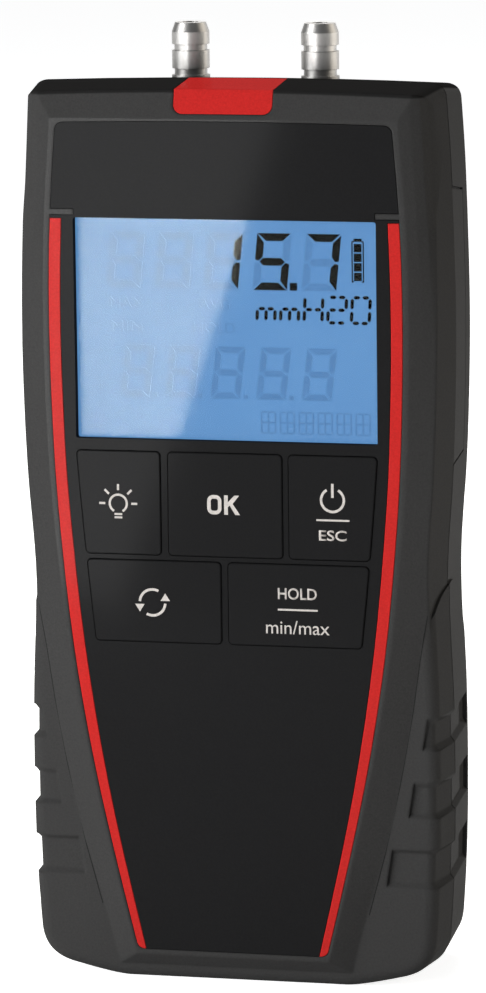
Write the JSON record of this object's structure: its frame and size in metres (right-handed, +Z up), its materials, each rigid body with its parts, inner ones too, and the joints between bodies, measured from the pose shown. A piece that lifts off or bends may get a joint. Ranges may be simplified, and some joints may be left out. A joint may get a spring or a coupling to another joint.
{
  "type": "differential pressure gauge",
  "caption": "Hand-held electronic differential pressure gauge: waisted two-shell housing with ribbed grips, large display, keypad and two metal hose spigots on top.",
  "frame": {"origin": "centre of the footprint at the flat lower end, in the middle of the depth", "axes": "+X to the right seen from the front, -Y out of the display, +Z up through the hose spigots"},
  "size_m": [0.0718, 0.035, 0.1564],
  "materials": {
    "case_plastic": "fine moulded texture",
    "panel_plastic": "satin",
    "key_plastic": "satin",
    "red_plastic": "satin",
    "black_plastic": "matt",
    "white_plastic": "matt",
    "black_rubber": "matt",
    "clear_silicone": "translucent",
    "clear_window": "clear, polished",
    "display_glass": "polished",
    "board_green": "solder mask",
    "port_metal": "turned, nickel plated",
    "clamp_steel": "brushed",
    "screw_steel": "plain",
    "cell_jacket": "satin",
    "contact_metal": "plated",
    "lead_jacket": "plain"
  },
  "bodies": {
    "case": {"front_shell": "case_plastic", "rear_shell": "case_plastic", "case_gasket": "black_rubber", "top_insert": "red_plastic", "case_screws": "screw_steel", "front_panel": "panel_plastic", "stripe_right": "red_plastic", "stripe_left": "red_plastic", "key_switches": "black_plastic", "lcd_window": "clear_window", "lcd_frame": "black_plastic", "lcd_glass": "display_glass", "lcd_backlight": "white_plastic", "lcd_connector": "black_rubber", "main_board": "board_green", "board_screws": "screw_steel", "board_parts": "black_plastic", "pressure_sensor": "black_plastic", "port_left": "port_metal", "port_right": "port_metal", "port_seal_left": "black_rubber", "port_seal_right": "black_rubber", "tube_left": "clear_silicone", "tube_right": "clear_silicone", "port_clamp": "clamp_steel", "clamp_screws": "screw_steel", "battery_tray": "black_plastic", "cell_1": "cell_jacket", "cell_2": "cell_jacket", "cell_3": "cell_jacket", "cell_4": "cell_jacket", "battery_springs": "contact_metal", "battery_contacts": "contact_metal", "battery_leads": "lead_jacket", "battery_door": "case_plastic", "door_screw": "screw_steel", "door_foam": "black_rubber"},
    "button_light": {"key_light": "key_plastic", "stem_light": "white_plastic"},
    "button_ok": {"key_ok": "key_plastic", "stem_ok": "white_plastic"},
    "button_power": {"key_power": "key_plastic", "stem_power": "white_plastic"},
    "button_cycle": {"key_cycle": "key_plastic", "stem_cycle": "white_plastic"},
    "button_hold": {"key_hold": "key_plastic", "stem_hold": "white_plastic"}
  },
  "joints": [
    {"name": "press_light", "type": "slide", "parent": "case", "child": "button_light", "axis": [0, 1, 0], "range_m": [0, 0.0005], "stiffness_N_per_m": 1200},
    {"name": "press_ok", "type": "slide", "parent": "case", "child": "button_ok", "axis": [0, 1, 0], "range_m": [0, 0.0005], "stiffness_N_per_m": 1200},
    {"name": "press_power", "type": "slide", "parent": "case", "child": "button_power", "axis": [0, 1, 0], "range_m": [0, 0.0005], "stiffness_N_per_m": 1200},
    {"name": "press_cycle", "type": "slide", "parent": "case", "child": "button_cycle", "axis": [0, 1, 0], "range_m": [0, 0.0005], "stiffness_N_per_m": 1200},
    {"name": "press_hold", "type": "slide", "parent": "case", "child": "button_hold", "axis": [0, 1, 0], "range_m": [0, 0.0005], "stiffness_N_per_m": 1200}
  ]
}
